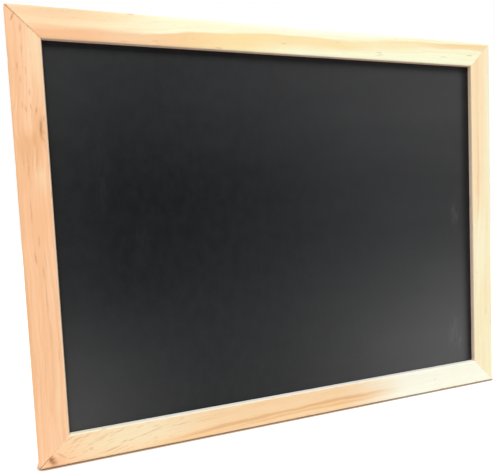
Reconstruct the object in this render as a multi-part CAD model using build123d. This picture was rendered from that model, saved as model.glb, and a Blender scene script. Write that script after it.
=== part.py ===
from build123d import *
import os

# Slate writing board: a black writing sheet on a hardboard back, held in a mitred pine frame.
# Millimetres. X is the width, Z is up, and the writing face looks along -Y.
# The origin is the middle of the bottom edge that the board stands on.

# Pine frame
board_width = 330.0
board_height = 260.0
frame_thickness = 12.0
rail_width = 17.5
lip_thickness = 3.5
lip_cover = 5.0
arris_radius = 1.2
lip_arris_radius = 0.4
rebate_arris_radius = 0.6
corner_radius = 2.0

# Writing panel
sheet_thickness = 0.5
backing_thickness = 3.0
panel_play = 0.8

# V-nails that close the mitres
v_nail_leg = 5.0
v_nail_sheet = 0.5
v_nail_margin = 3.0
v_nail_sink = 0.2
v_nail_front_cover = 4.5

# Framing points that hold the panel in the rebate
point_width = 6.0
point_sheet = 0.6
point_grip = 6.0
point_reach = 8.0
point_tip = 2.5
points_per_rail = 4
points_per_stile = 3

# Sawtooth hanger and its nails
hanger_length = 45.0
hanger_height = 10.0
hanger_sheet = 0.8
hanger_tab = 8.0
hanger_slope = 1.6
hanger_rise = 1.6
hanger_corner_radius = 1.5
tooth_pitch = 2.6
tooth_depth = 1.4
tooth_tip = 0.4
nail_radius = 0.7
nail_head_radius = 1.7
nail_head_height = 0.7
nail_tip_length = 1.6
nail_front_cover = 3.5

# Clearances
steel_in_wood = 0.05
nail_in_hanger = 0.1

# Derived places, with Y counted from the front face to the back
front_y = -frame_thickness / 2
back_y = frame_thickness / 2
wall_width = rail_width - lip_cover
rebate_depth = frame_thickness - lip_thickness
sheet_front_y = front_y + lip_thickness
backing_front_y = sheet_front_y + sheet_thickness
panel_back_y = backing_front_y + backing_thickness
panel_width = board_width - 2 * (wall_width + panel_play)
panel_height = board_height - 2 * (wall_width + panel_play)
hanger_z = board_height - wall_width / 2
nail_x = hanger_length / 2 - hanger_tab / 2

# Each frame member is made lying along X with its outer edge at Z = 0, then turned to its side.
side_places = {
    "top_rail": Pos(0, 0, board_height) * Rot(0, 180, 0),
    "bottom_rail": Pos(0, 0, 0),
    "left_stile": Pos(-board_width / 2, 0, board_height / 2) * Rot(0, 90, 0),
    "right_stile": Pos(board_width / 2, 0, board_height / 2) * Rot(0, -90, 0),
}
side_lengths = {
    "top_rail": board_width,
    "bottom_rail": board_width,
    "left_stile": board_height,
    "right_stile": board_height,
}

# Each corner's outer point, turned so that its local X and Z run along the two members it joins.
corner_places = {
    "top_left": Pos(-board_width / 2, 0, board_height) * Rot(0, 90, 0),
    "top_right": Pos(board_width / 2, 0, board_height) * Rot(0, 180, 0),
    "bottom_left": Pos(-board_width / 2, 0, 0),
    "bottom_right": Pos(board_width / 2, 0, 0) * Rot(0, -90, 0),
}


def box_between(low, high):
    """A box from its lowest corner to its highest."""
    size = [b - a for a, b in zip(low, high)]
    return Pos(*low) * Box(*size, align=(Align.MIN, Align.MIN, Align.MIN))


def slab(points, y_low, y_high):
    """A prism with its outline given as X, Z points, from one Y to another."""
    outline = make_face(Polyline(*[(x, y_low, z) for x, z in points], close=True))
    return extrude(outline, amount=y_high - y_low, dir=(0, 1, 0))


def moulding_section():
    """Cross-section of the frame members in Y and Z: an L with a lip in front and eased arrises."""
    block = Rectangle(frame_thickness, rail_width, align=(Align.CENTER, Align.MIN))
    rebate = Pos(back_y, rail_width) * Rectangle(rebate_depth, lip_cover, align=(Align.MAX, Align.MAX))
    section = block - rebate
    corners = section.vertices().group_by(Axis.X)
    outer_front = corners[0].sort_by(Axis.Y)[0]
    outer_back = corners[-1].sort_by(Axis.Y)[0]
    section = fillet([outer_front, outer_back], arris_radius)
    lip_corner = section.vertices().sort_by_distance((front_y, rail_width))[0]
    section = fillet(lip_corner, lip_arris_radius)
    rebate_corner = section.vertices().sort_by_distance((back_y, wall_width))[0]
    return Plane.YZ * fillet(rebate_corner, rebate_arris_radius)


def frame_member(length):
    """A length of moulding with both ends mitred at 45 degrees."""
    bar = extrude(moulding_section(), amount=length / 2, both=True)
    half = length / 2
    mitred = [(-half, 0), (half, 0), (half - rail_width, rail_width), (-half + rail_width, rail_width)]
    return bar & slab(mitred, front_y, back_y)


def board_outline():
    """The whole board's block, with the outer corners rounded as sanding leaves them."""
    outline = RectangleRounded(board_width, board_height, corner_radius)
    place = Plane(origin=(0, back_y, board_height / 2), x_dir=(1, 0, 0), z_dir=(0, -1, 0))
    return extrude(place * outline, amount=frame_thickness)


def v_nail(start, gap=0.0):
    """One V-nail with its apex on the mitre, or with a gap the slot that it is pressed into."""
    low = start - gap
    inner = start + v_nail_sheet + gap
    end = start + v_nail_leg + gap
    points = [(low, low), (end, low), (end, inner), (inner, inner), (inner, end), (low, end)]
    tip_y = front_y + v_nail_front_cover - gap
    head_y = back_y if gap else back_y - v_nail_sink
    return slab(points, tip_y, head_y)


def corner_nails(gap=0.0):
    """The two V-nails of a corner: one near the outer edge, one near the rebate."""
    starts = [v_nail_margin, wall_width - v_nail_margin - v_nail_sheet]
    return [v_nail(start, gap) for start in starts]


def framing_point(x, gap=0.0):
    """A flat point that lies on the panel's back with its tip in the rebate wall, or its slot."""
    half = point_width / 2 + gap
    tip_z = wall_width - point_grip - gap
    points = [(x - half, wall_width + point_reach), (x + half, wall_width + point_reach)]
    points += [(x + half, tip_z + point_tip), (x, tip_z), (x - half, tip_z + point_tip)]
    return slab(points, panel_back_y - gap, panel_back_y + point_sheet + gap)


def point_stations(length, count):
    """Even places for the points along one side of the panel."""
    step = (length - 2 * rail_width) / count
    return [(i - (count - 1) / 2) * step for i in range(count)]


def sawtooth_hanger():
    """A pressed strip: flat ends on the wood, a raised middle, and teeth along its lower edge."""
    end = hanger_length / 2
    rise_start = end - hanger_tab
    rise_end = rise_start - hanger_slope
    near = [(-end, 0), (-rise_start, 0), (-rise_end, hanger_rise)]
    near += [(-x, y) for x, y in reversed(near)]
    far = [(x, y + hanger_sheet) for x, y in reversed(near)]
    bottom_z = hanger_z - hanger_height / 2
    outline = make_face(Polyline(*[(x, back_y + y, bottom_z) for x, y in near + far], close=True))
    strip = extrude(outline, amount=hanger_height, dir=(0, 0, 1))
    end_edges = strip.edges().filter_by(Axis.Y).group_by(Axis.X)
    strip = fillet(end_edges[0] + end_edges[-1], hanger_corner_radius)
    teeth = int(2 * rise_end / tooth_pitch)
    for i in range(teeth):
        x = (i - (teeth - 1) / 2) * tooth_pitch
        half = (tooth_pitch - tooth_tip) / 2
        notch = [(x - half, bottom_z), (x + half, bottom_z), (x, bottom_z + tooth_depth)]
        strip -= slab(notch, back_y, back_y + hanger_rise + hanger_sheet)
    for x in (-nail_x, nail_x):
        strip -= nail_hole(x, nail_radius + nail_in_hanger, back_y, back_y + hanger_sheet)
    return strip


def nail_hole(x, radius, y_low, y_high):
    """A round hole along Y at the hanger's height."""
    place = Plane(origin=(x, y_low, hanger_z), z_dir=(0, 1, 0))
    return extrude(place * Circle(radius), amount=y_high - y_low)


def hanger_nail(x):
    """A round nail with a low domed head, driven in from the back."""
    tip_y = front_y + nail_front_cover
    seat_y = back_y + hanger_sheet
    top_y = seat_y + nail_head_height
    shank = Polyline(
        (0, top_y),
        (0, tip_y),
        (nail_radius, tip_y + nail_tip_length),
        (nail_radius, seat_y),
        (nail_head_radius, seat_y),
    )
    dome = TangentArc((0, top_y), (nail_head_radius, seat_y), tangent=(1, 0))
    nail = revolve(make_face([shank, dome]), Axis.Y)
    return Pos(x, 0, hanger_z) * nail


parts = {}

outline = board_outline()
for name, place in side_places.items():
    parts[name] = (place * frame_member(side_lengths[name])) & outline

panel_low_x = -panel_width / 2
panel_low_z = (board_height - panel_height) / 2
parts["writing_sheet"] = box_between(
    (panel_low_x, sheet_front_y, panel_low_z),
    (panel_low_x + panel_width, backing_front_y, panel_low_z + panel_height),
)
parts["backing_board"] = box_between(
    (panel_low_x, backing_front_y, panel_low_z),
    (panel_low_x + panel_width, panel_back_y, panel_low_z + panel_height),
)

for corner, place in corner_places.items():
    parts[corner + "_v_nails"] = Compound(children=[place * nail for nail in corner_nails()])
    for name in corner.split("_"):
        member = name + ("_rail" if name in ("top", "bottom") else "_stile")
        for slot in corner_nails(steel_in_wood):
            parts[member] -= place * slot

for name, place in side_places.items():
    count = points_per_rail if name.endswith("rail") else points_per_stile
    stations = point_stations(side_lengths[name], count)
    group = name.split("_")[0] + "_panel_points"
    parts[group] = Compound(children=[place * framing_point(x) for x in stations])
    for x in stations:
        parts[name] -= place * framing_point(x, steel_in_wood)

parts["sawtooth_hanger"] = sawtooth_hanger()
parts["hanger_nails"] = Compound(children=[hanger_nail(x) for x in (-nail_x, nail_x)])
for x in (-nail_x, nail_x):
    pilot_y = front_y + nail_front_cover - steel_in_wood
    parts["top_rail"] -= nail_hole(x, nail_radius + steel_in_wood, pilot_y, back_y)

os.makedirs("parts", exist_ok=True)
for name, shape in parts.items():
    export_step(shape, f"parts/{name}.step")
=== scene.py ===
import math
import random
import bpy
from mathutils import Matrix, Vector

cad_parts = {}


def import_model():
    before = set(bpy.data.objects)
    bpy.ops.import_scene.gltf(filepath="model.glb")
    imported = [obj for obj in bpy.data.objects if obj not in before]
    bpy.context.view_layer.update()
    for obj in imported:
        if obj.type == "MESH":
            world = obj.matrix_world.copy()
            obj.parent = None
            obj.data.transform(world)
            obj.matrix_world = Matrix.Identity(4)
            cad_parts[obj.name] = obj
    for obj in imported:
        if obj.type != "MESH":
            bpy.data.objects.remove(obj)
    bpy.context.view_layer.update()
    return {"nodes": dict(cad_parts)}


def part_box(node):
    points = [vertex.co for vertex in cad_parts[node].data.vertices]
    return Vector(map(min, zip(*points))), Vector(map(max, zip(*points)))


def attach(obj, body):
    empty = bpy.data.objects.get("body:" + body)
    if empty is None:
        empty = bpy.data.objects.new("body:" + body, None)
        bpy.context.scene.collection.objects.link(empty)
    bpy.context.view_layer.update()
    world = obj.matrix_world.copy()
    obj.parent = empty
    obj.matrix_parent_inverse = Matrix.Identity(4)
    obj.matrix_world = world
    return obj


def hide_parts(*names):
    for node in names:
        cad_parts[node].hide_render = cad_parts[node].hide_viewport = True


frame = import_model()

from types import SimpleNamespace
import bmesh
import bpy
from mathutils import Matrix, Vector, noise

# Looks of the slate writing board, in metres, in the frame of the CAD model:
# X is the width, Z is up, and the writing face looks along -Y.
MM = 0.001

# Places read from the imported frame
board_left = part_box("left_stile")[0].x
board_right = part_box("right_stile")[1].x
board_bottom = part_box("bottom_rail")[0].z
board_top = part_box("top_rail")[1].z
front_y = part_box("bottom_rail")[0].y
back_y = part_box("bottom_rail")[1].y
rail_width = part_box("bottom_rail")[1].z - board_bottom
sheet_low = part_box("writing_sheet")[0]
board_width = board_right - board_left
board_height = board_top - board_bottom

# Section of the frame members
PANEL_PLAY = 0.8 * MM
wall_width = sheet_low.x - board_left - PANEL_PLAY
ARRIS_RADIUS = 1.2 * MM
LIP_ARRIS_RADIUS = 0.4 * MM
REBATE_ARRIS_RADIUS = 0.6 * MM
LIP_BACK_RADIUS = 0.15 * MM
CORNER_RADIUS = 2.0 * MM
OUTLINE_STEP = 1.2 * MM
ARC_STEPS = 6
STATION_STEP = 1.6 * MM
# The sections nearest to a mitre, in millimetres from it
END_STATIONS = [0.0, 0.06, 0.14, 0.3, 0.5, 0.8, 1.1, 1.5, 2.1, 3.0]

# Marks of hand and use on the wood
MITRE_EASE = 0.05 * MM
MITRE_EASE_REACH = 0.14 * MM
ARRIS_WEAR = 0.16 * MM
WEAR_LENGTH = 9 * MM
DENT_DEPTH = 0.3 * MM
DENT_REACH = 1.6 * MM
DENTS_PER_MEMBER = 4
DENT_SHARES = (0.05, 0.95)

# Slots of the fasteners and the finish of the meshes
SLOT_GROW = 0.05 * MM
SLOT_OVERRUN = 1 * MM
SAME_PLACE = 0.001 * MM
SLIVER = 0.002 * MM
QUAD_SIDES = 4
SHARP_ANGLE = math.radians(38)
BEVEL_ANGLE = math.radians(40)
BEVEL_SEGMENTS = 2
SHEET_EDGE = 0.1 * MM
BOARD_EDGE = 0.2 * MM
STEEL_EDGE = 0.06 * MM

# How far each member's end stands back from the mitre, at its outer edge and at its closed end,
# and where it closes
MITRE_GAPS = {
    "top_left": (0.05 * MM, 0.02 * MM, rail_width),
    "top_right": (0.01 * MM, 0.01 * MM, rail_width),
    "bottom_left": (0.34 * MM, 0.01 * MM, 8 * MM),
    "bottom_right": (0.01 * MM, 0.01 * MM, rail_width),
}
# How dark the glue line shows at each mitre, at its outer and at its inner end,
# and its half width in millimetres
GLUE_LINES = {
    "top_left": (0.85, 0.45, 0.95),
    "top_right": (0.08, 0.05, 0.6),
    "bottom_left": (0.3, 0.0, 0.6),
    "bottom_right": (0.06, 0.05, 0.6),
}

# The camera that the photograph's perspective gives
CAMERA_PLACE = (-0.12149, -0.28161, 0.14460)
CAMERA_YAW = math.radians(17.69)
CAMERA_PITCH = math.radians(-3.657)
CAMERA_ROLL = math.radians(-2.595)
CAMERA_LENS = 32.856
CAMERA_SENSOR = 36.0
CAMERA_NEAR = 10 * MM


def srgb(red, green, blue):
    """A colour read off a screen, 0 to 255, as the linear colour that a shader takes."""
    linear = []
    for value in (red, green, blue):
        share = value / 255
        linear.append(share / 12.92 if share <= 0.04045 else ((share + 0.055) / 1.055) ** 2.4)
    return (*linear, 1.0)


class Nodes:
    """Short calls for the nodes of a tree. A value is a number, a colour or another node's output."""

    def __init__(self, tree):
        self.tree = tree

    def give(self, socket, value):
        if isinstance(value, bpy.types.NodeSocket):
            self.tree.links.new(value, socket)
        else:
            socket.default_value = value

    def node(self, kind, inputs, **settings):
        made = self.tree.nodes.new("ShaderNode" + kind)
        for key, value in settings.items():
            setattr(made, key, value)
        for key, value in inputs.items():
            self.give(made.inputs[key], value)
        return made

    def math(self, operation, first, second=0.0):
        return self.node("Math", {0: first, 1: second}, operation=operation).outputs[0]

    def product(self, first, *others):
        for other in others:
            first = self.math("MULTIPLY", first, other)
        return first

    def vector(self, operation, first, second):
        return self.node("VectorMath", {0: first, 1: second}, operation=operation).outputs[0]

    def length(self, vector):
        return self.node("VectorMath", {0: vector}, operation="LENGTH").outputs["Value"]

    def axes(self, vector):
        return self.node("SeparateXYZ", {"Vector": vector}).outputs

    def joined(self, x, y, z):
        return self.node("CombineXYZ", {"X": x, "Y": y, "Z": z}).outputs[0]

    def turned(self, vector, place, turn, size):
        """The vector as seen from a place, turned and sized like a texture."""
        inputs = {"Vector": vector, "Location": place, "Rotation": turn, "Scale": size}
        return self.node("Mapping", inputs, vector_type="TEXTURE").outputs[0]

    def noise(self, vector, scales, detail=2.0, roughness=0.5, distortion=0.0):
        """Soft noise from 0 to 1. The scales say how fast it changes along each axis."""
        inputs = {
            "Vector": self.vector("MULTIPLY", vector, scales),
            "Scale": 1.0,
            "Detail": detail,
            "Roughness": roughness,
            "Distortion": distortion,
        }
        return self.node("TexNoise", inputs).outputs["Fac"]

    def ramp(self, value, low, high, to_low=0.0, to_high=1.0):
        """A smooth step from one level to another while the value goes from low to high."""
        inputs = {"Value": value, "From Min": low, "From Max": high, "To Min": to_low, "To Max": to_high}
        return self.node("MapRange", inputs, interpolation_type="SMOOTHSTEP").outputs[0]

    def mix(self, share, first, second):
        return self.node("Mix", {0: share, 6: first, 7: second}, data_type="RGBA").outputs[2]

    def bump(self, height, strength, distance, below=None):
        inputs = {"Height": height, "Strength": strength, "Distance": distance}
        if below is not None:
            inputs["Normal"] = below
        return self.node("Bump", inputs).outputs[0]


class Shader(Nodes):
    """A material with the nodes that lead to its surface."""

    def __init__(self, name):
        self.material = bpy.data.materials.new(name)
        self.material.use_nodes = True
        super().__init__(self.material.node_tree)
        self.surface = self.tree.nodes["Principled BSDF"]

    def place(self):
        return self.node("TexCoord", {}).outputs["Object"]

    def finish(self, **inputs):
        for key, value in inputs.items():
            self.give(self.surface.inputs[key.replace("_", " ")], value)
        return self.material


# Wood colours. The palest also paints the highlight on the lips' arrises.
WHITE_WOOD_AND_HIGHLIGHT = srgb(254, 254, 236)
IVORY = srgb(252, 252, 218)
CREAM = srgb(253, 236, 197)
STRAW = srgb(253, 244, 204)
ROSE_STRAW = srgb(252, 232, 193)
PALE = srgb(252, 220, 178)
PEACH = srgb(255, 206, 164)
HONEY = srgb(252, 222, 160)
ORANGE = srgb(250, 205, 148)
PINK_ORANGE = srgb(247, 191, 144)
TAN = srgb(236, 176, 124)
BROWN = srgb(190, 124, 80)
RESIN = srgb(184, 112, 68)
DARK_BROWN = srgb(132, 80, 50)
# Lip faces, painted with light and shade: the lit faces paler, the shaded ones darker.
LIP_SHADE = srgb(226, 190, 166)
LIT_LIP_ROSE = srgb(255, 226, 203)
SHADED_LIP_TAN = srgb(238, 210, 176)
LIT_LIP_CREAM = srgb(255, 249, 224)
LIT_LIP_WHITE = srgb(255, 254, 246)
SIDE_WOOD = srgb(250, 219, 176)
# Painted shade along the foot of the bottom rail, where it meets the floor.
FOOT_SHADE_COLOUR = srgb(130, 104, 78)

# The four members of the frame. Numbers are millimetres along the member from its left or lower end, and
# across it from its outer edge.
# ends: the corners at its start and at its end.
# seed: sets this member's noise and dents apart from the others'.
# lip: the colour of the lip's inner face at the start and at the end, and where the one turns into the
# other. It is painted light and shade: paler where the face is lit, darker where it is shaded.
# lip_arris_highlight: how pale the lip's arris is painted, a painted highlight where it catches the light.
# path: the line that the grain follows, as (along, across) points.
# tones: the pale wood at the start and at the end, and where the one turns into the other. The paler tones
# towards the board's right are partly the wood's own and partly painted light.
# deep: the colour of the stripes and growth rings.
# ring, ring_tilt: the growth rings' distance, and how far they shift with depth.
# contrast: how strongly the growth rings show, at the start and at the end of the tones' turn.
# flecks: how many more resin flecks there are near the start, and where they end.
# streaks: bands that run with the grain, as (offset from the path, reach outwards, reach inwards, start,
# end, strength, colour).
# clouds, patches: soft spots below and above the streaks, as a colour and its spots.
# dashes, knots: dark marks. A spot or mark is (along, across, half length, half width, turn, strength).
MEMBERS = {
    "top_rail": {
        "length": board_width,
        "ends": ("top_left", "top_right"),
        "seed": 11.0,
        "lip": (LIP_SHADE, LIP_SHADE, 0.0, 330.0),
        "lip_arris_highlight": 0.15,
        "path": [
            (0, 13), (55, 12.4), (100, 9.0), (122, 7.3), (145, 6.0), (165, 6.0), (192, 6.9),
            (220, 6.2), (250, 5.0), (285, 3.5), (330, 3.2),
        ],
        "tones": (PALE, IVORY, 15.0, 100.0),
        "deep": HONEY,
        "ring": 3.4,
        "ring_tilt": 0.5,
        "contrast": (0.2, 0.1),
        "flecks": (0.0, 0.0),
        "streaks": [
            (-9.0, 3.0, 2.8, -30, 50, 0.6, PEACH),
            (-10.5, 4.0, 3.5, 45, 75, 0.35, HONEY),
            (0.9, 1.8, 16.0, 75, 158, 0.9, HONEY),
            (2.6, 7.0, 16.0, -40, 60, 0.95, PINK_ORANGE),
            (0.8, 1.8, 16.0, 50, 105, 0.6, PINK_ORANGE),
            (1.2, 2.6, 7.5, 145, 225, 0.75, HONEY),
            (0.0, 1.6, 6.0, 225, 300, 0.55, HONEY),
            (0.6, 2.2, 3.6, 280, 370, 0.7, ORANGE),
            (5.6, 0.5, 0.5, 200, 370, 0.1, TAN),
        ],
        "clouds": [(WHITE_WOOD_AND_HIGHLIGHT, [(190, 1.0, 80, 4.0, 0.0, 0.85)])],
        "patches": [],
        "dashes": [
            # Painted shade along the outer arris near the left end.
            (30, 0.6, 34, 2.4, 0.0, 0.2),
            (66, 0.9, 2.6, 0.45, 0.0, 0.55),
            (62, 15.8, 2.8, 0.4, 0.0, 0.4),
            (80, 14.6, 2.2, 0.35, 0.0, 0.35),
            (118, 16.4, 3.2, 0.4, 0.0, 0.35),
            (162, 10.8, 2.4, 0.4, 0.0, 0.35),
            (233, 12.4, 3.0, 0.4, 0.0, 0.35),
            (234, 13.4, 2.8, 0.4, 0.0, 0.4),
            (232, 14.3, 2.2, 0.35, 0.0, 0.35),
            (288, 12.4, 3.6, 0.45, 0.0, 0.35),
            (311, 10.0, 3.4, 0.5, -0.05, 0.6),
        ],
        "knots": [],
    },
    "bottom_rail": {
        "length": board_width,
        "ends": ("bottom_left", "bottom_right"),
        "seed": 23.0,
        "lip": (LIT_LIP_CREAM, LIT_LIP_WHITE, 20.0, 75.0),
        "lip_arris_highlight": 0.55,
        "path": [
            (0, -16), (20, -9), (40, -3.5), (60, 0.6), (78, 3.4), (118, 6), (167, 7.8),
            (220, 8.6), (330, 10),
        ],
        "tones": (PALE, WHITE_WOOD_AND_HIGHLIGHT, 190.0, 255.0),
        "deep": ORANGE,
        "ring": 3.0,
        "ring_tilt": 0.6,
        "contrast": (0.26, 0.05),
        "flecks": (0.1, 76.0),
        "streaks": [
            (0.0, 6.0, 2.0, 66, 225, 0.56, ORANGE),
            (-0.4, 1.8, 0.8, 85, 225, 0.3, BROWN),
            (-3.2, 1.0, 0.8, 120, 225, 0.18, BROWN),
        ],
        "clouds": [
            (CREAM, [(58, 10.5, 44, 12.0, 0.0, 0.8)]),
            (PEACH, [(4, 2, 22, 12.0, 0.3, 0.75)]),
        ],
        "patches": [(TAN, [(9, 3.5, 8, 3.5, 0.0, 0.4)])],
        "dashes": [
            (7.4, 4.8, 4.8, 2.4, -1.0, 0.75),
            (12.5, 6.5, 3.5, 0.8, -0.6, 0.35),
            (40.5, 4.7, 7.5, 0.45, 0.22, 0.5),
            (48, 8.2, 3.0, 0.45, 0.3, 0.4),
            (62, 10.5, 13.5, 0.4, 0.18, 0.4),
            (29, 7.4, 1.6, 1.0, 0.0, 0.35),
            (34.5, 12.3, 5.0, 0.45, 0.34, 0.4),
            (21, 14.2, 4.2, 0.7, 0.6, 0.35),
            (26, 15.6, 3.4, 0.6, 0.3, 0.3),
            (45, 14.5, 5.0, 0.4, 0.15, 0.3),
            (18.5, 4.0, 3.0, 0.45, 0.1, 0.4),
            (83, 12.5, 7.0, 0.4, 0.08, 0.35),
            (98, 11.6, 9.0, 0.35, 0.04, 0.3),
        ],
        "knots": [(7.0, 4.8, 3.0, 1.2, -1.0, 0.6)],
    },
    "left_stile": {
        "length": board_height,
        "ends": ("bottom_left", "top_left"),
        "seed": 37.0,
        "lip": (PALE, PALE, 0.0, 260.0),
        "lip_arris_highlight": 0.4,
        "path": [(0, 8), (60, 8.5), (110, 8), (150, 6.5), (180, 7.2), (196, 5.2), (212, 7.0), (260, 6.5)],
        "tones": (PEACH, PEACH, 0.0, 100.0),
        "deep": TAN,
        "ring": 2.3,
        "ring_tilt": 0.4,
        "contrast": (0.22, 0.3),
        "flecks": (0.0, 0.0),
        "streaks": [
            (0.0, 0.8, 2.4, 90, 185, 0.35, TAN),
            (3.0, 0.6, 0.8, 55, 130, 0.14, BROWN),
        ],
        "clouds": [
            (PALE, [
                (240, 14.5, 36, 6.0, 0.0, 0.75),
                (40, 13.0, 34, 2.0, 0.0, 0.4),
                (166, 13.5, 9, 3.5, 0.0, 0.5),
            ]),
        ],
        "patches": [
            (PINK_ORANGE, [
                (146, 5.0, 30, 5.0, 0.0, 0.8),
                (168, 4.0, 22, 5.5, 0.0, 0.95),
                (112, 6.5, 36, 4.5, 0.0, 0.6),
                (80, 9, 30, 3.0, 0.0, 0.5),
                (141, 10.5, 20, 7.5, 0.0, 0.85),
            ]),
            (TAN, [
                # Painted shade along the outer arris, where it turns away from the light.
                (130, 0.6, 190, 1.5, 0.0, 0.5),
                (193, 14.6, 13, 4.2, 0.0, 0.55),
                (184, 6.5, 10, 10.0, 0.0, 0.6),
                (187, 10.6, 6.5, 3.0, 0.0, 0.9),
            ]),
        ],
        "dashes": [
            (193.2, 14.8, 7.4, 0.9, 0.03, 0.6),
            (187.8, 15.3, 2.0, 0.6, -0.25, 0.4),
            (198.8, 16.1, 2.2, 0.5, 0.15, 0.4),
            (191.4, 15.9, 1.8, 0.45, 0.0, 0.35),
            (177, 11.8, 8.0, 0.6, 0.1, 0.32),
            (174, 9.0, 9.0, 0.5, 0.05, 0.3),
            (172, 6.4, 9.0, 0.5, 0.0, 0.34),
            (176, 4.4, 6.0, 0.5, 0.0, 0.3),
            (203, 12.2, 2.6, 0.6, 0.1, 0.55),
            (205, 10.0, 2.4, 0.55, -0.1, 0.5),
            (204, 7.8, 2.4, 0.5, 0.0, 0.5),
            (206, 6.0, 2.4, 0.5, 0.0, 0.4),
            (213, 10.2, 2.4, 0.4, 0.0, 0.35),
            (220, 5.8, 2.8, 0.5, 0.0, 0.45),
            (224.5, 9.3, 3.2, 0.45, 0.0, 0.35),
            (227, 4.4, 2.6, 0.5, 0.0, 0.4),
            (236, 7.4, 3.0, 0.5, 0.0, 0.3),
            (252.8, 3.9, 2.8, 0.6, 0.4, 0.6),
            (247, 7.0, 3.0, 0.5, 0.1, 0.35),
            (148, 6.4, 7.0, 0.6, 0.0, 0.4),
            (131, 9.0, 4.0, 0.55, 0.0, 0.4),
            (122, 7.0, 4.4, 0.55, 0.0, 0.45),
            (113, 10.0, 5.0, 0.5, 0.0, 0.4),
            (120, 12.0, 6.0, 0.4, 0.0, 0.3),
            (97, 10.8, 10.0, 0.45, 0.0, 0.25),
            (66, 14.6, 6.0, 0.5, 0.0, 0.3),
            (35, 9.1, 6.0, 0.4, 0.0, 0.2),
        ],
        "knots": [(194, 14.9, 4.0, 0.5, 0.0, 0.3)],
    },
    "right_stile": {
        "length": board_height,
        "ends": ("bottom_right", "top_right"),
        "seed": 53.0,
        "lip": (LIT_LIP_ROSE, SHADED_LIP_TAN, 150.0, 235.0),
        "lip_arris_highlight": 0.15,
        "path": [(0, 15), (90, 15.2), (112, 14.4), (140, 12.6), (175, 11.8), (200, 12), (260, 11)],
        "tones": (STRAW, ROSE_STRAW, 60.0, 190.0),
        "deep": ORANGE,
        "ring": 4.2,
        "ring_tilt": 0.5,
        "contrast": (0.14, 0.14),
        "flecks": (0.0, 0.0),
        "streaks": [
            (0.0, 1.6, 5.5, 130, 290, 0.27, ORANGE),
            (0.0, 1.0, 1.0, 130, 200, 0.3, TAN),
        ],
        "clouds": [(IVORY, [(190, 1.0, 130, 6.0, 0.0, 0.5), (104, 10.5, 34, 8.0, 0.0, 0.5)])],
        "patches": [(ORANGE, [(230, 12.5, 26, 4.5, 0.0, 0.18), (70, 6.5, 28, 3.0, 0.0, 0.25)])],
        "dashes": [(56, 6.0, 3.0, 0.4, 0.0, 0.15)],
        "knots": [],
    },
}


def member_point(name, along, across, depth):
    """A place on a frame member, as a point of the board."""
    if name == "top_rail":
        return Vector((board_left + along, depth, board_top - across))
    if name == "bottom_rail":
        return Vector((board_left + along, depth, board_bottom + across))
    if name == "left_stile":
        return Vector((board_left + across, depth, board_bottom + along))
    return Vector((board_right - across, depth, board_bottom + along))


def member_place(name, point):
    """A point of the board as along, across and depth of a frame member."""
    if name == "top_rail":
        return point.x - board_left, board_top - point.z, point.y
    if name == "bottom_rail":
        return point.x - board_left, point.z - board_bottom, point.y
    if name == "left_stile":
        return point.z - board_bottom, point.x - board_left, point.y
    return point.z - board_bottom, board_right - point.x, point.y


def moulding_outline():
    """The section of a frame member as (across, depth) points, each with its share of arris."""
    corners = [
        (0.0, front_y, ARRIS_RADIUS),
        (rail_width, front_y, LIP_ARRIS_RADIUS),
        (rail_width, sheet_low.y, LIP_BACK_RADIUS),
        (wall_width, sheet_low.y, 0.0),
        (wall_width, back_y, REBATE_ARRIS_RADIUS),
        (0.0, back_y, ARRIS_RADIUS),
    ]
    rounded = []
    for i, (across, depth, radius) in enumerate(corners):
        here = Vector((across, depth))
        before = Vector(corners[i - 1][:2])
        after = Vector(corners[(i + 1) % len(corners)][:2])
        rounded.append(arc_points(here, before, after, radius))
    points = []
    for i, arc in enumerate(rounded):
        points += arc
        start = arc[-1][0]
        end = rounded[(i + 1) % len(rounded)][0][0]
        steps = max(1, round((end - start).length / OUTLINE_STEP))
        points += [(start.lerp(end, k / steps), 0.0) for k in range(1, steps)]
    return points


def arc_points(corner, before, after, radius):
    """A right-angled corner of the section eased to an arc, as points with their share of arris."""
    if radius == 0:
        return [(corner, 0.0)]
    inward = (before - corner).normalized() * radius
    outward = (after - corner).normalized() * radius
    centre = corner + inward + outward
    arc = []
    for k in range(ARC_STEPS + 1):
        turn = math.pi / 2 * k / ARC_STEPS
        point = centre - outward * math.cos(turn) - inward * math.sin(turn)
        arc.append((point, math.sin(2 * turn)))
    return arc


def inward_normals(points):
    """At each point of the section, the direction into the wood."""
    normals = []
    for i in range(len(points)):
        before = points[i - 1][0]
        after = points[(i + 1) % len(points)][0]
        run = (after - before).normalized()
        normals.append(Vector((-run.y, run.x)))
    return normals


def station_list(length):
    """Shares of the length at which the section is repeated, closer together at the mitres."""
    ends = [d * MM for d in END_STATIONS]
    middle = length - 2 * ends[-1]
    steps = round(middle / STATION_STEP)
    inner = [ends[-1] + middle * k / steps for k in range(1, steps)]
    distances = ends + inner + [length - d for d in reversed(ends)]
    return [d / length for d in distances]


def round_corner(along, across, length):
    """The board's outer corner, sanded round."""
    from_end = min(along, length - along)
    if from_end > CORNER_RADIUS or across > CORNER_RADIUS:
        return along, across
    offset = Vector((from_end - CORNER_RADIUS, across - CORNER_RADIUS))
    if offset.length > CORNER_RADIUS:
        offset *= CORNER_RADIUS / offset.length
    from_end = CORNER_RADIUS + offset.x
    along = from_end if along < length / 2 else length - from_end
    return along, CORNER_RADIUS + offset.y


def mitre_gap(corner, across):
    """How far a member's end stands back from the mitre plane."""
    outer, inner, closes_at = MITRE_GAPS[corner]
    return outer + (inner - outer) * min(1.0, across / closes_at)


def dent_places(facts):
    """Where a member's front arrises are dented, as (along, across)."""
    chance = random.Random(facts["seed"])
    places = []
    for _ in range(DENTS_PER_MEMBER):
        along = chance.uniform(*DENT_SHARES) * facts["length"]
        places.append((along, chance.choice((0.0, rail_width))))
    return places


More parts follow.
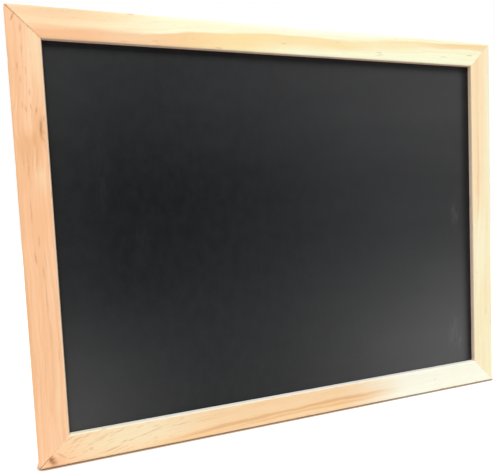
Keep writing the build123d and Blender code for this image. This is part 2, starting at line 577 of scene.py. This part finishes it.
def wear(facts, dents, share, point, arris):
    """How much wood is eased, rubbed or knocked off at a point of the section."""
    along = share * facts["length"]
    from_end = min(share, 1 - share) * facts["length"]
    ease = MITRE_EASE * max(0.0, 1 - from_end / MITRE_EASE_REACH)
    wobble = noise.noise(Vector((along / WEAR_LENGTH, point.x / MM, facts["seed"] + point.y / MM)))
    lost = ease + arris * ARRIS_WEAR * (0.5 + 0.5 * wobble)
    for place, edge in dents:
        near = Vector((along - place, point.x - edge, point.y - front_y)).length
        lost += DENT_DEPTH * math.exp(-((near / DENT_REACH) ** 2))
    return lost


def to_mesh(made, name):
    """A finished mesh of the points and faces made so far."""
    mesh = bpy.data.meshes.new(name)
    made.to_mesh(mesh)
    made.free()
    return mesh


def add_piece(name, data):
    """A new object of the scene."""
    piece = bpy.data.objects.new(name, data)
    bpy.context.scene.collection.objects.link(piece)
    return piece


def member_mesh(name):
    """A frame member as a swept section with worn arrises, dents and mitred ends."""
    facts = MEMBERS[name]
    length = facts["length"]
    start_corner, end_corner = facts["ends"]
    outline = moulding_outline()
    inward = inward_normals(outline)
    dents = dent_places(facts)
    made = bmesh.new()
    rings = []
    for share in station_list(length):
        ring = []
        for (point, arris), into in zip(outline, inward):
            across, depth = point + into * wear(facts, dents, share, point, arris)
            start = across + mitre_gap(start_corner, across)
            end = length - across - mitre_gap(end_corner, across)
            along, across = round_corner(start + share * (end - start), across, length)
            ring.append(made.verts.new(member_point(name, along, across, depth)))
        rings.append(ring)
    for near, far in zip(rings, rings[1:]):
        for k in range(len(outline)):
            after = (k + 1) % len(outline)
            made.faces.new((near[k], near[after], far[after], far[k]))
    made.faces.new(rings[0])
    made.faces.new(rings[-1])
    bmesh.ops.recalc_face_normals(made, faces=made.faces)
    return to_mesh(made, name + "_wood")


def slot_cutter(node):
    """A fastener's shape, a little larger, that cuts its slot. The slots of V-nails open at the back."""
    made = bmesh.new()
    made.from_mesh(frame["nodes"][node].data)
    bmesh.ops.remove_doubles(made, verts=made.verts, dist=SAME_PLACE)
    bmesh.ops.recalc_face_normals(made, faces=made.faces)
    made.normal_update()
    moves = [v.normal * SLOT_GROW * v.calc_shell_factor() for v in made.verts]
    for vertex, move in zip(made.verts, moves):
        vertex.co += move
        if node.endswith("v_nails") and vertex.co.y > back_y - SLOT_OVERRUN:
            vertex.co.y = back_y + SLOT_OVERRUN
    return add_piece(node + "_slot", to_mesh(made, node + "_slot"))


def fasteners_of(name):
    """The CAD nodes that are driven into a frame member."""
    side = name.split("_")[0]
    found = [side + "_panel_points"]
    found += [corner + "_v_nails" for corner in MEMBERS[name]["ends"]]
    if name == "top_rail":
        found.append("hanger_nails")
    return found


def cut_slots(piece, nodes):
    """Takes the slots of the fasteners out of a frame member."""
    cutters = [slot_cutter(node) for node in nodes]
    for cutter in cutters:
        cut = piece.modifiers.new(cutter.name, "BOOLEAN")
        cut.operation = "DIFFERENCE"
        cut.solver = "EXACT"
        cut.object = cutter
    shown = piece.evaluated_get(bpy.context.evaluated_depsgraph_get())
    mesh = bpy.data.meshes.new_from_object(shown)
    piece.modifiers.clear()
    piece.data = mesh
    for cutter in cutters:
        bpy.data.objects.remove(cutter)


def soften(mesh):
    """Smooth shading, with the true edges kept sharp and the cuts' slivers and idle points taken out."""
    made = bmesh.new()
    made.from_mesh(mesh)
    bmesh.ops.dissolve_degenerate(made, edges=made.edges, dist=SLIVER)
    idle = [vertex for vertex in made.verts if len(vertex.link_edges) == 2]
    bmesh.ops.dissolve_verts(made, verts=idle)
    many_sided = [face for face in made.faces if len(face.verts) > QUAD_SIDES]
    bmesh.ops.triangulate(made, faces=many_sided)
    for face in made.faces:
        face.smooth = True
    for edge in made.edges:
        if len(edge.link_faces) == 2:
            edge.smooth = edge.calc_face_angle() < SHARP_ANGLE
    made.to_mesh(mesh)
    made.free()


def mark_grain(name, mesh):
    """Gives every point its place along, across and through the member, in millimetres, for the grain."""
    attribute = mesh.attributes.new("grain", "FLOAT_VECTOR", "POINT")
    for item, vertex in zip(attribute.data, mesh.vertices):
        item.vector = Vector(member_place(name, vertex.co)) / MM


def frame_member(name):
    """A pine frame member, in place of its CAD node."""
    piece = add_piece(name + "_wood", member_mesh(name))
    cut_slots(piece, fasteners_of(name))
    soften(piece.data)
    mark_grain(name, piece.data)
    piece.data.materials.clear()
    piece.data.materials.append(pine(name))
    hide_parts(name)
    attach(piece, "root")


# Pine. The scales are along, across and through the grain, per millimetre. A band holds the levels of a
# noise between which its effect grows, and after them the effect's ends where these aren't 0 and 1.
SEED_STEPS = (31.0, 7.0, 3.0)
RIPPLE_SCALES = (0.03, 0.2, 0.2)
RIPPLE_BAND = (0.2, 0.8, -0.9, 0.9)
TONE_SCALES = (0.014, 0.3, 0.3)
TONE_BAND = (0.45, 0.75, 0.0, 1.8)
STRIPE_SCALES = (0.035, 1.1, 1.1)
STRIPE_BAND = (0.42, 0.75)
RING_SPREAD_SCALES = (0.006, 0.5, 0.5)
RING_SPREAD = 1.6
LATE_WOOD_RISE = (0.3, 0.86)
LATE_WOOD_END = (1.0, 0.9)
FIBRE_SCALES = (0.07, 3.0, 3.0)
FIBRE_BAND = (0.5, 0.8, 0.0, 1.6)
FLECK_SCALES = (0.13, 1.6, 1.6)
FLECK_BAND = (0.72, 0.82, 0.0, 0.4)
FLECK_FADE = 20.0
BREAK_SCALES = (0.5, 2.5, 2.5)
MARK_BREAKS = (0.3, 0.55, 0.45, 1.0)
GLUE_BREAKS = (0.35, 0.6, 0.2, 1.0)
# Breaks in the painted shade along the foot.
FOOT_SHADE_BREAKS = (0.25, 0.55, 0.6, 1.0)
WOOD_ROUGHNESS = (0.3, 0.7, 0.5, 0.66)
FIBRE_RELIEF = 0.6
RING_RELIEF = 0.4
WOOD_BUMP = (0.35, 0.1 * MM)
WOOD_SPECULAR = 0.3

# Marks of the wood. Lengths are in millimetres.
PATH_LOW = -20.0
PATH_SPAN = 40.0
MARK_FADE = (1.25, 0.1)
MARK_DEPTH = 1000.0
STREAK_FADE = 25.0
STREAK_CORE = 0.3
SIDE_DEPTH = (front_y / MM + 1.2, front_y / MM + 5.0)
SIDE_SHARE = 0.65
SIDE_RINGS = 0.34
SIDE_STRIPES = 0.22
LIP_FACE = (rail_width / MM - 0.3, rail_width / MM - 0.05)
LIP_DEPTH = (front_y / MM + 0.15, front_y / MM + 0.7)
LIP_ARRIS = ((rail_width - front_y) / MM - 0.75, (rail_width - front_y) / MM - 0.35)
GLUE_CORE = 0.15
# Painted shade along the foot: its band across the member, in millimetres, and its fading towards the right
# end.
FOOT_SHADE = (0.65, 0.065, 0.0, 0.7)
FOOT_SHADE_FADE = (215.0, 290.0, 1.0, 0.5)


def grain_path(shader, along, points, length):
    """How far across the member its grain line runs, at each place along it."""
    curve = shader.node("FloatCurve", {"Value": shader.math("DIVIDE", along, length)})
    line = curve.mapping.curves[0]
    spots = [(x / length, (across - PATH_LOW) / PATH_SPAN) for x, across in points]
    line.points[0].location = spots[0]
    line.points[1].location = spots[-1]
    for spot in spots[1:-1]:
        line.points.new(*spot)
    curve.mapping.update()
    across = shader.math("MULTIPLY", curve.outputs[0], PATH_SPAN)
    return shader.math("ADD", across, PATH_LOW)


def grain_places(shader, facts):
    """Where a point lies in a member's wood: in the member, from its grain line and on its rings."""
    grain = shader.node("Attribute", {}, attribute_name="grain").outputs["Vector"]
    along, across, depth = shader.axes(grain)
    apart = tuple(facts["seed"] * step for step in SEED_STEPS)
    ripple = shader.noise(shader.vector("ADD", grain, apart), RIPPLE_SCALES)
    ripple = shader.ramp(ripple, *RIPPLE_BAND)
    path = grain_path(shader, along, facts["path"], facts["length"] / MM)
    from_path = shader.math("ADD", shader.math("SUBTRACT", across, path), ripple)
    from_front = shader.math("SUBTRACT", depth, front_y / MM)
    on_rings = shader.math("ADD", from_path, shader.product(from_front, facts["ring_tilt"]))
    return SimpleNamespace(
        along=along,
        across=across,
        depth=depth,
        from_path=from_path,
        on_rings=on_rings,
        lined=shader.vector("ADD", shader.joined(along, on_rings, depth), apart),
        marked=shader.joined(along, shader.math("ADD", across, ripple), 0.0),
    )


def wood_figure(shader, facts, at):
    """The late wood of the growth rings, the noises of the grain, and how strongly they show."""
    spread = shader.noise(at.lined, RING_SPREAD_SCALES, detail=1.0)
    rings = shader.math("DIVIDE", at.on_rings, facts["ring"])
    phase = shader.math("FRACT", shader.math("ADD", rings, shader.product(spread, RING_SPREAD)))
    return SimpleNamespace(
        contrast=shader.ramp(at.along, *facts["tones"][2:], *facts["contrast"]),
        late=shader.product(shader.ramp(phase, *LATE_WOOD_RISE), shader.ramp(phase, *LATE_WOOD_END)),
        stripe=shader.noise(at.lined, STRIPE_SCALES),
        fibre=shader.noise(at.lined, FIBRE_SCALES, detail=3.0, roughness=0.6),
        broken=shader.noise(at.lined, BREAK_SCALES),
    )


def marks_share(shader, place, marks):
    """How strongly a point lies in any of the marks."""
    share = None
    for along, across, half_length, half_width, turn, strength in marks:
        size = (half_length, half_width, MARK_DEPTH)
        seen = shader.turned(place, (along, across, 0.0), (0.0, 0.0, turn), size)
        one = shader.ramp(shader.length(seen), *MARK_FADE, 0.0, strength)
        share = one if share is None else shader.math("MAXIMUM", share, one)
    return share


def streak_share(shader, at, streak):
    """How strongly a point lies in a band that runs with the grain."""
    offset, outwards, inwards, start, end, strength = streak
    place = shader.math("SUBTRACT", at.from_path, offset)
    return shader.product(
        shader.ramp(place, -outwards, -STREAK_CORE * outwards),
        shader.ramp(place, inwards, STREAK_CORE * inwards),
        shader.ramp(at.along, start - STREAK_FADE, start + STREAK_FADE),
        shader.ramp(at.along, end + STREAK_FADE, end - STREAK_FADE, 0.0, strength),
    )


def plain_wood(shader, facts, at, figure):
    """A member's pale wood with soft tones, stripes and growth rings."""
    pale, paler, *turn = facts["tones"]
    colour = shader.mix(shader.ramp(at.along, *turn), pale, paler)
    tone = shader.ramp(shader.noise(at.lined, TONE_SCALES), *TONE_BAND)
    stripe = shader.ramp(figure.stripe, *STRIPE_BAND)
    for share in (tone, stripe, figure.late):
        colour = shader.mix(shader.product(share, figure.contrast), colour, facts["deep"])
    return colour


def side_wood(shader, at, figure, colour):
    """A warmer tone and clearer rings behind the front, on the sides and the back."""
    behind_front = shader.ramp(at.depth, *SIDE_DEPTH)
    colour = shader.mix(shader.product(behind_front, SIDE_SHARE), colour, SIDE_WOOD)
    stripes = shader.ramp(figure.stripe, *STRIPE_BAND, 0.0, SIDE_STRIPES)
    for lines in (stripes, shader.product(figure.late, SIDE_RINGS)):
        colour = shader.mix(shader.product(behind_front, lines), colour, TAN)
    return colour


def spotted(shader, at, colour, spots_by_colour):
    """Soft spots of other wood colours, and painted shade where a member's list says so."""
    for spot_colour, spots in spots_by_colour:
        colour = shader.mix(marks_share(shader, at.marked, spots), colour, spot_colour)
    return colour


def streaked(shader, at, colour, streaks):
    """Bands of other wood colours that run with the grain."""
    for *streak, streak_colour in streaks:
        colour = shader.mix(streak_share(shader, at, streak), colour, streak_colour)
    return colour


def dark_lines(shader, facts, at, figure, colour):
    """Fibres, resin flecks, dashes and knots."""
    fibres = shader.product(shader.ramp(figure.fibre, *FIBRE_BAND), figure.contrast)
    colour = shader.mix(fibres, colour, TAN)
    more_flecks, flecks_end = facts["flecks"]
    nearer = shader.ramp(at.along, flecks_end + FLECK_FADE, flecks_end - FLECK_FADE, 0.0, more_flecks)
    flecks = shader.math("ADD", shader.noise(at.lined, FLECK_SCALES, detail=1.0), nearer)
    colour = shader.mix(shader.ramp(flecks, *FLECK_BAND), colour, BROWN)
    ragged = shader.ramp(figure.broken, *MARK_BREAKS)
    for marks, mark_colour in ((facts["dashes"], RESIN), (facts["knots"], DARK_BROWN)):
        if marks:
            share = shader.product(marks_share(shader, at.marked, marks), ragged)
            colour = shader.mix(share, colour, mark_colour)
    return colour


def lip_light_and_shade(shader, facts, at, colour):
    """The lip's inner face in its painted tone of light or shade, and its arris painted pale as a
    highlight.
    """
    start, end, *turn = facts["lip"]
    lip = shader.mix(shader.ramp(at.along, *turn), start, end)
    on_face = shader.product(shader.ramp(at.across, *LIP_FACE), shader.ramp(at.depth, *LIP_DEPTH))
    colour = shader.mix(on_face, colour, lip)
    to_front = shader.math("SUBTRACT", at.across, at.depth)
    # The lip's arris is painted pale: a painted highlight where it catches the light.
    return shader.mix(shader.ramp(to_front, *LIP_ARRIS, 0.0, facts["lip_arris_highlight"]), colour, WHITE_WOOD_AND_HIGHLIGHT)


def glue_lines(shader, facts, at, figure, colour):
    """A broken dark line of glue and dirt at each mitre."""
    patchy = shader.ramp(figure.broken, *GLUE_BREAKS)
    to_end = shader.math("SUBTRACT", facts["length"] / MM, at.along)
    for corner, from_corner in zip(facts["ends"], (at.along, to_end)):
        *darkness, half_width = GLUE_LINES[corner]
        to_mitre = shader.math("SUBTRACT", from_corner, at.across)
        share = shader.product(
            shader.ramp(to_mitre, half_width, GLUE_CORE * half_width),
            shader.ramp(at.across, 0.0, rail_width / MM, *darkness),
            patchy,
        )
        colour = shader.mix(share, colour, BROWN)
    return colour


def painted_foot_shade(shader, at, figure, colour):
    """Painted shade along the lower arris, which the board stands on: darker where it meets the floor,
    broken, and fainter towards the right end.
    """
    share = shader.product(
        shader.ramp(at.across, *FOOT_SHADE),
        shader.ramp(figure.broken, *FOOT_SHADE_BREAKS),
        shader.ramp(at.along, *FOOT_SHADE_FADE),
    )
    return shader.mix(share, colour, FOOT_SHADE_COLOUR)


def pine(name):
    """Bare planed pine: growth rings, fibres, resin flecks and this member's own marks, with painted light
    and shade on the lip, its arrises and the foot.
    """
    facts = MEMBERS[name]
    shader = Shader(name + "_pine")
    at = grain_places(shader, facts)
    figure = wood_figure(shader, facts, at)
    colour = plain_wood(shader, facts, at, figure)
    colour = spotted(shader, at, colour, facts["clouds"])
    colour = side_wood(shader, at, figure, colour)
    colour = streaked(shader, at, colour, facts["streaks"])
    colour = spotted(shader, at, colour, facts["patches"])
    colour = dark_lines(shader, facts, at, figure, colour)
    colour = lip_light_and_shade(shader, facts, at, colour)
    colour = glue_lines(shader, facts, at, figure, colour)
    # Painted shade along the foot, where the bottom rail stands on the floor.
    if name == "bottom_rail":
        colour = painted_foot_shade(shader, at, figure, colour)
    fibres = shader.product(figure.fibre, FIBRE_RELIEF)
    rings = shader.product(figure.late, RING_RELIEF)
    return shader.finish(
        Base_Color=colour,
        Roughness=shader.ramp(figure.fibre, *WOOD_ROUGHNESS),
        Normal=shader.bump(shader.math("ADD", fibres, rings), *WOOD_BUMP),
        Specular_IOR_Level=WOOD_SPECULAR,
    )


# Writing surface. The scales are per metre. The hazes are bands by height and by side, in metres. They are
# partly chalk haze and partly painted sheen on the matt paint.
CLEAN_PAINT = srgb(19, 21, 23)
DULL_PAINT = srgb(26, 28, 30)
# The haze colour is partly chalk and partly painted sheen.
CHALK_HAZE_AND_SHEEN = srgb(80, 80, 81)
CHALK_SMEAR = srgb(126, 126, 128)
STIPPLE_SCALES = (1400.0, 1400.0, 1400.0)
MOTTLE_SCALES = (160.0, 1.0, 110.0)
MOTTLE_BAND = (0.32, 0.68)
WIPE_SCALES = (9.0, 1.0, 60.0)
CLOUD_SCALES = (14.0, 1.0, 12.0)
UNEVEN_BAND = (0.3, 0.7, 0.42, 0.56)
PAINT_ROUGHNESS = (0.3, 0.7, 0.38, 0.46)
PAINT_BUMP = (0.25, 0.05 * MM)
PAINT_SPECULAR = 0.25
# Painted sheen with some chalk haze: the upper band, the glare low on the right, the lower left corner and
# both sides.
UPPER_HAZE_AND_SHEEN = ((145 * MM, 228 * MM), (-150 * MM, 60 * MM, 0.13, 0.26))
DUST_HAZE_AND_GLARE = ((130 * MM, 20 * MM), (-20 * MM, 160 * MM, 0.0, 0.85))
CORNER_HAZE_AND_SHEEN = ((110 * MM, 10 * MM), (-50 * MM, -165 * MM, 0.0, 0.5))
RIGHT_HAZE_AND_SHEEN = (-100 * MM, 165 * MM, 0.0, 0.44)
LEFT_HAZE_AND_SHEEN = (-105 * MM, -155 * MM, 0.0, 0.11)
# Painted shade of the lips: within these distances below the upper lip and beside the right lip, the haze
# is held back.
SHADE_BELOW_LIP = (-3 * MM, 9 * MM)
SHADE_BESIDE_LIP = (1 * MM, 10 * MM)
# Faint smears of chalk, as (height, place across, half height, half width, turn, strength), in millimetres
CHALK_SMEARS = [
    (43, 131, 15, 6.0, 0.1, 0.22),
    (34, 136, 9, 3.5, -0.1, 0.22),
    (132, 133, 10, 4.5, 0.0, 0.16),
    (170, -120, 30, 5.0, 0.05, 0.025),
    (126, -100, 16, 5.0, 0.0, 0.025),
]
# Along and across a smear, per millimetre
SMEAR_SCALES = (0.15, 0.7, 1.0)
SMEAR_BAND = (0.35, 0.65)


def wiped_and_lip_shaded_share(shader, place, x, z):
    """How much of the haze and painted sheen shows: uneven, as the cloth left it, and less close to the
    upper and the right lip, which paints the lips' shade there.
    """
    wiped = shader.noise(place, WIPE_SCALES, detail=4.0, roughness=0.6)
    cloud = shader.noise(place, CLOUD_SCALES, detail=3.0, distortion=0.6)
    uneven = shader.math("ADD", shader.ramp(wiped, *UNEVEN_BAND), shader.ramp(cloud, *UNEVEN_BAND))
    below_lip = shader.math("SUBTRACT", board_top - rail_width, z)
    beside_lip = shader.math("SUBTRACT", board_right - rail_width, x)
    return shader.product(
        shader.ramp(below_lip, *SHADE_BELOW_LIP),
        shader.ramp(beside_lip, *SHADE_BESIDE_LIP),
        uneven,
    )


def chalk_haze_and_sheen(shader, x, z):
    """The shares of chalk haze and painted sheen at the top, at both sides, low on the right and in the
    lower left corner. Low on the right it is mostly painted glare.
    """
    upper, dust_and_glare, corner = [
        shader.product(shader.ramp(z, *by_height), shader.ramp(x, *by_side))
        for by_height, by_side in (UPPER_HAZE_AND_SHEEN, DUST_HAZE_AND_GLARE, CORNER_HAZE_AND_SHEEN)
    ]
    beside = shader.math("ADD", shader.ramp(x, *RIGHT_HAZE_AND_SHEEN), shader.ramp(x, *LEFT_HAZE_AND_SHEEN))
    return upper, beside, dust_and_glare, corner


def smear_share(shader, x, z):
    """How strongly a point lies in a streaky smear of chalk."""
    upright = shader.vector("DIVIDE", shader.joined(z, x, 0.0), (MM, MM, MM))
    streaky = shader.noise(upright, SMEAR_SCALES, detail=3.0, roughness=0.6)
    return shader.product(marks_share(shader, upright, CHALK_SMEARS), shader.ramp(streaky, *SMEAR_BAND))


def writing_surface():
    """Matt black writing paint with a fine stipple, the haze of wiped chalk with painted sheen, and painted
    shade along the upper and the right lip.
    """
    shader = Shader("writing_surface")
    place = shader.place()
    x, _, z = shader.axes(place)
    mottle = shader.noise(place, MOTTLE_SCALES, detail=4.0, roughness=0.65)
    colour = shader.mix(shader.ramp(mottle, *MOTTLE_BAND), CLEAN_PAINT, DULL_PAINT)
    # Next to the upper and the right lip the haze is held back: painted shade of the lips.
    left_over_with_lip_shade = wiped_and_lip_shaded_share(shader, place, x, z)
    for haze in chalk_haze_and_sheen(shader, x, z):
        colour = shader.mix(shader.product(haze, left_over_with_lip_shade), colour, CHALK_HAZE_AND_SHEEN)
    colour = shader.mix(smear_share(shader, x, z), colour, CHALK_SMEAR)
    stipple = shader.noise(place, STIPPLE_SCALES)
    return shader.finish(
        Base_Color=colour,
        Roughness=shader.ramp(stipple, *PAINT_ROUGHNESS),
        Normal=shader.bump(stipple, *PAINT_BUMP),
        Specular_IOR_Level=PAINT_SPECULAR,
    )


# Hardboard
HARDBOARD = srgb(122, 82, 50)
HARDBOARD_FLECK = srgb(152, 108, 68)
HARDBOARD_CLOUD = srgb(100, 66, 40)
HARDBOARD_DIMPLE_SHADE = srgb(84, 54, 32)
HARDBOARD_FLECK_SCALES = (900.0, 900.0, 900.0)
HARDBOARD_FLECK_BAND = (0.35, 0.7)
HARDBOARD_CLOUD_SCALES = (16.0, 16.0, 16.0)
HARDBOARD_CLOUD_BAND = (0.3, 0.75, 0.0, 0.3)
SCREEN_PITCH = 2.4 * MM
DIMPLE_SHADE_BAND = (0.2, -0.7, 0.0, 0.45)
SCREEN_BUMP = (0.6, 0.2 * MM)
HARDBOARD_FLECK_BUMP = (0.3, 0.08 * MM)
HARDBOARD_ROUGHNESS = 0.72
HARDBOARD_SPECULAR = 0.3


def hardboard():
    """Brown hardboard with the pressed pattern of the screen on its back, its dimples painted darker as
    painted shade.
    """
    shader = Shader("hardboard")
    place = shader.place()
    flecks = shader.noise(place, HARDBOARD_FLECK_SCALES, detail=4.0, roughness=0.7)
    cloud = shader.noise(place, HARDBOARD_CLOUD_SCALES, detail=3.0)
    colour = shader.mix(shader.ramp(flecks, *HARDBOARD_FLECK_BAND), HARDBOARD, HARDBOARD_FLECK)
    colour = shader.mix(shader.ramp(cloud, *HARDBOARD_CLOUD_BAND), colour, HARDBOARD_CLOUD)
    x, _, z = shader.axes(place)
    wave = 2 * math.pi / SCREEN_PITCH
    across, down = [shader.math("SINE", shader.product(axis, wave)) for axis in (x, z)]
    screen = shader.product(across, down)
    # Painted shade in the screen's dimples, where the bump makes hollows.
    colour = shader.mix(shader.ramp(screen, *DIMPLE_SHADE_BAND), colour, HARDBOARD_DIMPLE_SHADE)
    relief = shader.bump(screen, *SCREEN_BUMP)
    return shader.finish(
        Base_Color=colour,
        Roughness=HARDBOARD_ROUGHNESS,
        Normal=shader.bump(flecks, *HARDBOARD_FLECK_BUMP, relief),
        Specular_IOR_Level=HARDBOARD_SPECULAR,
    )


# Zinc-plated steel
ZINC_BRIGHT = srgb(176, 178, 182)
ZINC_DULL = srgb(154, 156, 158)
ZINC_CLOUD_SCALES = (150.0, 150.0, 150.0)
ZINC_CLOUD_BAND = (0.35, 0.7)
ZINC_LINE_SCALES = (120.0, 120.0, 4000.0)
ZINC_ROUGHNESS = (0.3, 0.7, 0.26, 0.36)
ZINC_LINE_ROUGHNESS = 0.08
ZINC_BUMP = (0.15, 0.02 * MM)


def zinc_steel():
    """Zinc-plated steel: cloudy plating, fine rolling lines and duller patches."""
    shader = Shader("zinc_steel")
    place = shader.place()
    cloud = shader.noise(place, ZINC_CLOUD_SCALES, detail=3.0)
    lines = shader.noise(place, ZINC_LINE_SCALES)
    rough = shader.ramp(cloud, *ZINC_ROUGHNESS)
    return shader.finish(
        Base_Color=shader.mix(shader.ramp(cloud, *ZINC_CLOUD_BAND), ZINC_BRIGHT, ZINC_DULL),
        Metallic=1.0,
        Roughness=shader.math("ADD", rough, shader.product(lines, ZINC_LINE_ROUGHNESS)),
        Normal=shader.bump(lines, *ZINC_BUMP),
    )


def dress_node(node, material, edge):
    """A carried-over CAD node with its own material and lightly broken edges."""
    piece = frame["nodes"][node]
    piece.data.materials.clear()
    piece.data.materials.append(material)
    joined = piece.modifiers.new("joined_faces", "WELD")
    joined.merge_threshold = SAME_PLACE
    broken = piece.modifiers.new("broken_edges", "BEVEL")
    broken.width = edge
    broken.segments = BEVEL_SEGMENTS
    broken.limit_method = "ANGLE"
    broken.angle_limit = BEVEL_ANGLE
    broken.harden_normals = True


# Stage: floor, studio, card and lamps. Lengths are in metres.
WHITE = (1.0, 1.0, 1.0, 1.0)
FLOOR_REACH = 2.0
FLOOR_SEGMENTS = 4
FLOOR_WHITE = (0.82, 0.82, 0.82, 1.0)
FLOOR_ROUGHNESS = 0.9
FLOOR_GLOW = 0.45
CONTACT_REACH = 4 * MM
CONTACT_DARK = 0.55
CONTACT_CLEAR = 0.88
CONTACT_SHADE = srgb(150, 122, 94)
WORLD_LIGHT = 0.48
FLAG_PLACE = (0.08, -0.33, 0.27)
FLAG_SIZE = (1.1, 0.5)
FLAG_SEGMENTS = 2
UNIT_REACH = 0.5
FLAG_BLACK = srgb(20, 20, 20)
KEY_PLACE = (-0.6, -3.3, 4.4)
KEY_SIZE = (2.0, 2.0)
KEY_POWER = 180.0
FILL_PLACE = (-1.6, 3.4, 1.6)
FILL_SIZE = (1.6, 1.6)
FILL_POWER = 52.0


def seen_directly(nodes):
    """1 for rays from the camera or from a mirror or glass, and 0 for the light that reaches a surface."""
    path = nodes.node("LightPath", {}).outputs
    share = path["Is Camera Ray"]
    for kind in ("Is Glossy Ray", "Is Transmission Ray"):
        share = nodes.math("MAXIMUM", share, path[kind])
    return share


def flat_piece(name, segments, reach, matrix, material):
    """A flat square, placed, turned and sized by the matrix, that belongs to the stage."""
    made = bmesh.new()
    bmesh.ops.create_grid(made, x_segments=segments, y_segments=segments, size=reach, matrix=matrix)
    piece = add_piece(name, to_mesh(made, name))
    piece.data.materials.append(material)
    return piece


def floor():
    """The white table top, which keeps a faint shadow of the board."""
    shader = Shader("floor")
    contact = shader.node("AmbientOcclusion", {"Distance": CONTACT_REACH}).outputs["AO"]
    levels = {"Value": contact, "From Min": CONTACT_DARK, "From Max": CONTACT_CLEAR}
    open_share = shader.node("MapRange", levels).outputs[0]
    seen = seen_directly(shader)
    tint = shader.mix(open_share, CONTACT_SHADE, FLOOR_WHITE)
    material = shader.finish(
        Base_Color=shader.mix(seen, FLOOR_WHITE, tint),
        Roughness=FLOOR_ROUGHNESS,
        Emission_Color=WHITE,
        Emission_Strength=shader.product(seen, open_share, FLOOR_GLOW),
    )
    flat_piece("floor", FLOOR_SEGMENTS, FLOOR_REACH, Matrix.Translation((0.0, 0.0, board_bottom)), material)


def world():
    """A white studio: white where it is seen, softer where it only lights."""
    made = bpy.data.worlds.new("studio")
    bpy.context.scene.world = made
    made.use_nodes = True
    nodes = Nodes(made.node_tree)
    background = nodes.tree.nodes["Background"]
    background.inputs["Color"].default_value = WHITE
    levels = {"Value": seen_directly(nodes), "To Min": WORLD_LIGHT, "To Max": 1.0}
    nodes.give(background.inputs["Strength"], nodes.node("MapRange", levels).outputs[0])


def flag():
    """A dark card in front of the board, as photographers use, that shows only in reflections."""
    turn = Matrix.Rotation(math.pi / 2, 4, "X")
    size = Matrix.Diagonal((*FLAG_SIZE, 1.0, 1.0))
    matrix = Matrix.Translation(FLAG_PLACE) @ turn @ size
    material = Shader("flag").finish(Base_Color=FLAG_BLACK, Roughness=1.0)
    piece = flat_piece("flag", FLAG_SEGMENTS, UNIT_REACH, matrix, material)
    piece.visible_camera = False
    piece.visible_diffuse = False
    piece.visible_transmission = False
    piece.visible_shadow = False


def area_lamp(name, place, target, size, power):
    """A soft box that looks at a target."""
    lamp = bpy.data.lights.new(name, "AREA")
    lamp.shape = "RECTANGLE"
    lamp.size, lamp.size_y = size
    lamp.energy = power
    piece = add_piece(name, lamp)
    piece.location = place
    piece.rotation_euler = (Vector(target) - Vector(place)).to_track_quat("-Z", "Y").to_euler()


def camera():
    """The photograph's camera."""
    lens = bpy.data.cameras.new("camera")
    lens.lens = CAMERA_LENS
    lens.sensor_width = CAMERA_SENSOR
    lens.sensor_fit = "HORIZONTAL"
    lens.clip_start = CAMERA_NEAR
    turn = Matrix.Rotation(-CAMERA_YAW, 4, "Z")
    turn @= Matrix.Rotation(math.pi / 2 + CAMERA_PITCH, 4, "X")
    turn @= Matrix.Rotation(CAMERA_ROLL, 4, "Z")
    piece = add_piece("camera", lens)
    piece.matrix_world = Matrix.Translation(CAMERA_PLACE) @ turn
    bpy.context.scene.camera = piece


for member in MEMBERS:
    frame_member(member)

dress_node("writing_sheet", writing_surface(), SHEET_EDGE)
dress_node("backing_board", hardboard(), BOARD_EDGE)
steel = zinc_steel()
for node in frame["nodes"]:
    if node.endswith(("nails", "points", "hanger")):
        dress_node(node, steel, STEEL_EDGE)

camera()
floor()
world()
flag()
middle = (0.0, 0.0, board_height / 2)
area_lamp("key", KEY_PLACE, middle, KEY_SIZE, KEY_POWER)
area_lamp("fill", FILL_PLACE, middle, FILL_SIZE, FILL_POWER)

bpy.context.scene.view_settings.view_transform = "Standard"
